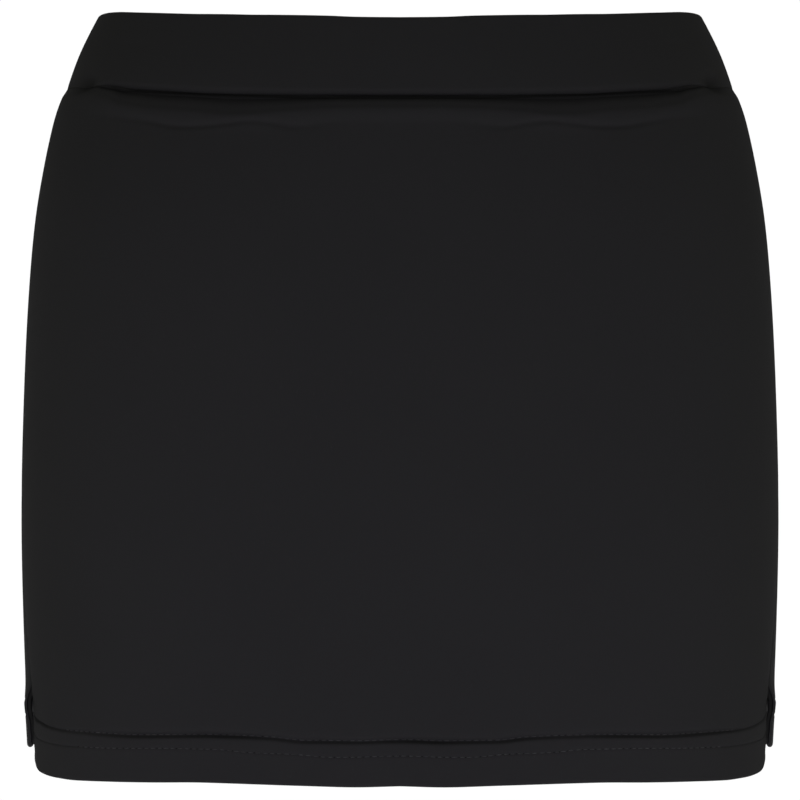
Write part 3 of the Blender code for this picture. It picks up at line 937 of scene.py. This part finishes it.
hemThread = {
    "bare": {"front": (34.0 * mm, 44.0 * mm), "back": (8.0 * mm, 8.0 * mm)},    # from each slit, by row
    "loopersFrom": 2.2 * mm,
    "loopersSink": 0.15 * mm,
    "samples": 900,
    "upperShift": 0.1 * mm,
    "holeShift": 0.74,           # from the middle of a stitch, as a share of its length
}


def hemLinePoints(side, which, margin):
    hemLength = lengthAt(lattices[side], skirt[side + "Hem"])
    shares = np.linspace(margin / hemLength, 1.0 - margin / hemLength, hemThread["samples"])
    above = hemThread["upperShift"] if which == 0 else 0.0
    return skirtFace(side, shares, skirtLevels(side, shares)[2 + which] + above)


def makeHemStitches(side):
    places = []
    holes = []
    for which in (0, 1):
        points, normals = hemLinePoints(side, which, hemThread["bare"][side][which])
        row = rowPlaces(points, normals, skirt["stitch"], skirt["stitchLength"])
        places += row
        for spot, along, up, length in row:
            holes.append((spot - along * hemThread["holeShift"], along, up, skirt["holes"]))
    stitches = beads("hemStitches" + side.title(), places, needleThread)
    # painted shade: flat dark beads where the needle holes are shadowed
    holeShadeBeads = beads("needleHoleShade" + side.title(), holes, needleHole)
    upper, upperNormals = hemLinePoints(side, 0, hemThread["loopersFrom"])
    lower, lowerNormals = hemLinePoints(side, 1, hemThread["loopersFrom"])
    count = int(runAlong(upper)[-1] / skirt["stitch"])
    depth = 2.0 * skirt["fold"] + hemThread["loopersSink"]
    upper = upper - upperNormals * depth
    lower = lower - lowerNormals * depth
    last = len(upper) - 1
    inner = []
    for index in range(count):   # down to the lower row and up to the next stitch of the upper one
        a = int((index + 0.2) / count * last)
        b = int((index + 0.8) / count * last)
        inner.append(stitchBetween(upper[a], lower[b], -upperNormals[a]))
        inner.append(stitchBetween(lower[b], upper[min(a + int(last / count), last)], -upperNormals[b]))
    loopers = beads("hemLoopers" + side.title(), inner, looperThread)
    print("sewing: the", side, "hem has", len(places), "stitches")
    return stitches, holeShadeBeads, loopers


def makeLegHemStitches():        # two rows round each leg of the shorts
    places = []
    shares = np.linspace(0.0, 1.0, 700)
    for mirror in (1.0, -1.0):
        flip = np.array([mirror, 1.0, 1.0])
        for above, _, _ in legHemRows:
            spot, normal = readLattice(legLattice, shares, np.full_like(shares, shorts["hem"] + above))
            spot = (spot - normal * shorts["stitchSink"]) * flip
            places += rowPlaces(spot, normal * flip, shorts["stitch"], skirt["stitchLength"])
    print("sewing: the leg hems have", len(places), "stitches")
    return beads("legHemStitches", places, needleThread)


tack = {"top": -286.4 * mm, "bottom": -293.9 * mm, "pitch": 0.42 * mm, "reach": 1.5 * mm, "lift": 0.12 * mm}


def makeTacks():                 # a dense zigzag over the seam at the top of each slit
    places = []
    levels = np.arange(tack["top"], tack["bottom"], -tack["pitch"])
    for end in (0.0, 1.0):
        line = []
        for index, level in enumerate(levels):
            side = "front" if index % 2 else "back"
            height = np.array([level])
            share = tack["reach"] / lengthAt(lattices[side], height)
            spot, normal = skirtFace(side, np.abs(end - share), height)
            line.append((spot[0], normal[0]))
        for (first, up), (second, other) in zip(line, line[1:]):
            middle, along, upward, length = stitchBetween(first, second, up + other)
            places.append((middle + tack["lift"] * upward, along, upward, length))
    return beads("slitTacks", places, needleThread)


pieces = {
    "skirtFront": makeSkirt("front"),
    "skirtBack": makeSkirt("back"),
    "waistbandFront": makeBand("front"),
    "waistbandBack": makeBand("back"),
    "shortsRight": makeShorts("shortsRight", False),
    "shortsLeft": makeShorts("shortsLeft", True),
}
for side in ("front", "back"):
    for stitched in makeHemStitches(side):
        pieces[stitched.name] = stitched
pieces["slitTacks"] = makeTacks()
pieces["legHemStitches"] = makeLegHemStitches()


def plainGroup(name, inputs, outputs):    # an input without a value of its own is a vector
    group = bpy.data.node_groups.new(name, "ShaderNodeTree")
    for label, value in inputs.items():
        kind = "NodeSocketVector" if value is None else "NodeSocketFloat"
        socket = group.interface.new_socket(label, in_out="INPUT", socket_type=kind)
        if value is not None:
            socket.default_value = value
    for label in outputs:
        group.interface.new_socket(label, in_out="OUTPUT", socket_type="NodeSocketFloat")
    return group, group.nodes.new("NodeGroupInput").outputs, group.nodes.new("NodeGroupOutput").inputs


def addNode(tree, kind, inputs, **settings):    # an input is a plain value or another node's output
    node = tree.nodes.new("ShaderNode" + kind)
    for label, value in settings.items():
        setattr(node, label, value)
    for label, value in inputs.items():
        if isinstance(value, bpy.types.NodeSocket):
            tree.links.new(value, node.inputs[label])
        else:
            node.inputs[label].default_value = value
    return node.outputs


def mathNode(tree, operation, *values):
    return addNode(tree, "Math", dict(enumerate(values)), operation=operation)[0]


def makeKnitGroup():             # columns of small V-shaped loops
    inputs = {"Cloth": None, "Wale": 0.4 * mm, "Course": 0.3 * mm}
    group, given, result = plainGroup("knitLoops", inputs, ("Height",))
    split = addNode(group, "SeparateXYZ", {0: given["Cloth"]})
    column = mathNode(group, "FRACT", mathNode(group, "DIVIDE", split[0], given["Wale"]))
    aside = mathNode(group, "ABSOLUTE", mathNode(group, "SUBTRACT", column, 0.5))
    course = mathNode(group, "DIVIDE", split[1], given["Course"])
    slanted = mathNode(group, "MULTIPLY_ADD", aside, 1.3, course)
    loop = mathNode(group, "SINE", mathNode(group, "MULTIPLY", slanted, 2.0 * math.pi))
    sunk = mathNode(group, "MULTIPLY", mathNode(group, "MULTIPLY", aside, aside), 4.0)
    rounded = mathNode(group, "SUBTRACT", 1.0, sunk)
    height = mathNode(group, "MULTIPLY", rounded, mathNode(group, "MULTIPLY_ADD", loop, 0.3, 0.7))
    group.links.new(height, result["Height"])
    return group


def makeToneGroup():             # slow drift of the dye and short lint specks that lie along the wales
    inputs = {"Cloth": None, "Drift": 0.1, "Lint": 0.2}
    group, given, result = plainGroup("clothTone", inputs, ("Tone", "Fuzz"))
    slow = addNode(group, "TexNoise", {"Vector": given["Cloth"], "Scale": 9.0, "Detail": 2.0})["Fac"]
    drift = mathNode(group, "MULTIPLY", mathNode(group, "SUBTRACT", slow, 0.5), given["Drift"])
    streak = addNode(group, "Mapping", {"Vector": given["Cloth"], "Scale": (1100.0, 300.0, 1.0)})[0]
    speck = addNode(group, "TexNoise", {"Vector": streak, "Scale": 1.0, "Detail": 1.0})["Fac"]
    picked = addNode(group, "MapRange", {"Value": speck, "From Min": 0.66, "From Max": 0.80})[0]
    lint = mathNode(group, "MULTIPLY", picked, given["Lint"])
    tone = mathNode(group, "ADD", mathNode(group, "ADD", drift, 1.0), lint)
    group.links.new(tone, result["Tone"])
    group.links.new(picked, result["Fuzz"])
    return group


knitLoops = makeKnitGroup()
clothTone = makeToneGroup()


def plainMaterial(name, values):    # the plain values are set on the shader's own sockets
    material = bpy.data.materials.new(name)
    material.use_nodes = True
    shader = material.node_tree.nodes["Principled BSDF"].inputs
    for label, value in values.items():
        shader[label].default_value = value
    return material, material.node_tree, shader


def joinSurface(tree, shader, colour, tone, roughness, height, strength, distance):
    scaled = addNode(tree, "VectorMath", {0: colour, "Scale": tone}, operation="SCALE")[0]
    bump = addNode(tree, "Bump", {"Strength": strength, "Distance": distance, "Height": height})[0]
    tree.links.new(scaled, shader["Base Color"])
    tree.links.new(roughness, shader["Roughness"])
    tree.links.new(bump, shader["Normal"])


def clothMaterial(name, look):   # painted shade darkens the cloth's colour inside a shut fold and in the waist dimples
    material, tree, shader = plainMaterial(name, {
        "IOR": 1.45,
        "Specular IOR Level": look["specular"],
        "Sheen Weight": look["sheen"],
        "Sheen Roughness": look["sheenRoughness"],
    })
    cloth = addNode(tree, "UVMap", {}, uv_map="clothUv")[0]
    toneInputs = {"Cloth": cloth, "Drift": look["drift"], "Lint": look["lint"]}
    tone = addNode(tree, "Group", toneInputs, node_tree=clothTone)
    knitInputs = {"Cloth": cloth, "Wale": look["wale"], "Course": look["course"]}
    loops = addNode(tree, "Group", knitInputs, node_tree=knitLoops)["Height"]
    # the dye's drift and lint, and painted shade between the knit loops
    shade = mathNode(tree, "MULTIPLY", tone["Tone"], mathNode(tree, "MULTIPLY_ADD", loops, 0.24, 0.85))
    # painted shade: the fold mask darkens the base colour
    shut = addNode(tree, "Attribute", {}, attribute_name="foldDepth")["Fac"]
    paintedShadeFactor = mathNode(tree, "MULTIPLY_ADD", shut, -look["foldShade"], 1.0)
    rough = mathNode(tree, "MULTIPLY_ADD", tone["Fuzz"], 0.1, look["roughness"])
    height = mathNode(tree, "ADD", loops, tone["Fuzz"])
    surfaceTone = mathNode(tree, "MULTIPLY", shade, paintedShadeFactor)
    joinSurface(tree, shader, look["colour"], surfaceTone, rough, height, look["bump"], 0.12 * mm)
    return material


def threadMaterial(name, look):  # twisted fibre, and some stitches are paler than others
    material, tree, shader = plainMaterial(name, {"Specular IOR Level": look["specular"]})
    place = addNode(tree, "TexCoord", {})["Object"]
    twist = addNode(tree, "TexNoise", {"Vector": place, "Scale": 2600.0, "Detail": 2.0})["Fac"]
    paler = addNode(tree, "TexNoise", {"Vector": place, "Scale": 330.0, "Detail": 0.0})["Fac"]
    fibre = mathNode(tree, "MULTIPLY_ADD", twist, 0.8, 0.6)
    tone = mathNode(tree, "MAXIMUM", mathNode(tree, "MULTIPLY_ADD", paler, 2.6, -0.3), 0.35)
    rough = mathNode(tree, "MULTIPLY_ADD", twist, 0.2, look["roughness"])
    surfaceTone = mathNode(tree, "MULTIPLY", fibre, tone)
    joinSurface(tree, shader, look["colour"], surfaceTone, rough, twist, 0.5, 0.08 * mm)
    return material


skirtLook = {
    "colour": (0.0150, 0.0150, 0.0151),
    "roughness": 0.88,
    "specular": 0.025,
    "sheen": 0.004,
    "sheenRoughness": 0.45,
    "drift": 0.12,
    "lint": 0.25,
    "wale": 0.42 * mm,
    "course": 0.34 * mm,
    "bump": 0.35,
    "foldShade": 0.42,
}
bandLook = dict(skirtLook, colour=(0.0153, 0.0153, 0.0153), drift=0.16)
shortsLook = dict(skirtLook, colour=(0.0130, 0.0130, 0.0131), roughness=0.82)
threadLook = {"colour": (0.0165, 0.0165, 0.0165), "roughness": 0.6, "specular": 0.3}
# near-black: painted shade in the needle holes
holeShadeLook = {"colour": (0.003, 0.003, 0.003), "roughness": 0.9, "specular": 0.0}

blackThread = threadMaterial("blackThread", threadLook)
finishes = [
    ("skirt", clothMaterial("skirtKnit", skirtLook)),
    ("waistband", clothMaterial("bandKnit", bandLook)),
    ("shorts", clothMaterial("shortsKnit", shortsLook)),
    ("needleHoleShade", threadMaterial("paintedHoleShade", holeShadeLook)),
]
for name, piece in pieces.items():
    chosen = [finish for start, finish in finishes if name.startswith(start)]
    piece.data.materials.append(chosen[0] if chosen else blackThread)
print("finish: knit and thread materials are on")

standsFor = {
    "skirtFront": ("skirt_front", "skirt_knit"),
    "skirtBack": ("skirt_back", "skirt_knit"),
    "waistbandFront": ("waistband_front", "band_knit"),
    "waistbandBack": ("waistband_back", "band_knit"),
    "shortsRight": ("shorts_right", "shorts_knit"),
    "shortsLeft": ("shorts_left", "shorts_knit"),
}
for name, piece in pieces.items():
    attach(piece, "root")
    if name in standsFor:
        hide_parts(standsFor[name][0])
    elif name.startswith("leg"):
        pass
    else:
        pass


def cameraSees(tree, lit, seen):    # a surface that the camera sees brighter than the cloth does
    path = addNode(tree, "LightPath", {})["Is Camera Ray"]
    return addNode(tree, "MixShader", {0: path, 1: lit, 2: seen})[0]


def makeStage():
    bm = bmesh.new()
    bmesh.ops.create_circle(bm, cap_ends=True, segments=96, radius=5.0)
    bmesh.ops.translate(bm, verts=bm.verts, vec=(0.0, 0.0, -1.02))
    floor = placeObject("floor", meshFrom(bm, "floor"))
    pale, tree, _ = plainMaterial("paleFloor", {"Base Color": (0.8, 0.8, 0.8, 1.0), "Roughness": 0.9})
    glow = addNode(tree, "Emission", {"Color": (0.97, 0.97, 0.97, 1.0)})[0]
    shown = cameraSees(tree, tree.nodes["Principled BSDF"].outputs[0], glow)
    tree.links.new(shown, tree.nodes["Material Output"].inputs["Surface"])
    floor.data.materials.append(pale)


def softLight(name, place, aim, size, power, colour):
    light = bpy.data.lights.new(name, "AREA")
    light.shape = "RECTANGLE"
    light.size, light.size_y = size
    light.energy = power
    light.color = colour
    lamp = placeObject(name, light)
    lamp.location = place
    lamp.rotation_euler = (Vector(aim) - Vector(place)).to_track_quat("-Z", "Y").to_euler()
    lamp.visible_camera = False


def makeWorld(shown, lighting):  # the camera sees plain white, the cloth is lit more softly
    world = bpy.data.worlds.new("studio")
    bpy.context.scene.world = world
    world.use_nodes = True
    tree = world.node_tree
    tree.nodes.clear()
    white = (1.0, 1.0, 1.0, 1.0)
    lit, seen = (
        addNode(tree, "Background", {"Color": white, "Strength": power})[0] for power in (lighting, shown)
    )
    out = tree.nodes.new("ShaderNodeOutputWorld")
    tree.links.new(cameraSees(tree, lit, seen), out.inputs["Surface"])


# Lamps: name, place, aim, size, power, colour; a lamp off the middle has a twin on the other side
lamps = [
    ("frontLow", (0.0, -0.85, -0.70), (0.0, 0.0, -0.33), (1.4, 0.6), 3.6, (0.62, 0.54, 1.0)),
    ("sideLow", (0.95, -0.62, -0.6), (0.0, 0.0, -0.28), (0.7, 0.6), 6.0, (1.0, 1.0, 0.92)),
    ("frontFar", (0.0, -2.9, -0.03), (0.0, 0.0, -0.03), (1.2, 0.3), 9.8, (1.0, 1.0, 0.98)),
    ("frontHigh", (0.0, -1.8, 1.5), (0.0, 0.0, -0.1), (2.6, 1.0), 2.0, (1.0, 1.0, 1.0)),
    ("overhead", (0.0, 0.0, 2.3), (0.0, 0.0, 0.0), (2.0, 2.0), 7.0, (0.96, 1.0, 0.7)),
    ("behind", (0.0, 2.5, 0.3), (0.0, 0.0, -0.15), (2.0, 1.8), 3.0, (1.0, 1.0, 1.0)),
    ("backLow", (0.0, 1.0, -0.7), (0.0, 0.0, -0.33), (1.2, 0.7), 5.0, (0.96, 0.93, 1.0)),
    ("backSide", (0.9, 0.9, -0.4), (0.0, 0.0, -0.2), (0.6, 0.7), 0.9, (1.0, 1.0, 1.0)),
]
worldLight = 0.27

makeStage()
makeWorld(shown=1.02, lighting=worldLight)
for name, place, aim, size, power, colour in lamps:
    softLight(name, place, aim, size, power, colour)
    if place[0]:
        across = [(-x, y, z) for x, y, z in (place, aim)]
        softLight(name + "Twin", *across, size, power, colour)

cameraData = bpy.data.cameras.new("camera")
cameraData.lens = 212.6
cameraData.sensor_width = 36.0
camera = placeObject("camera", cameraData)
camera.location = (0.0, -2.2, -0.1606)
camera.rotation_euler = (math.radians(90.0), 0.0, 0.0)
bpy.context.scene.camera = camera
bpy.context.scene.view_settings.view_transform = "Standard"
print("stage: floor, lights and camera are set")
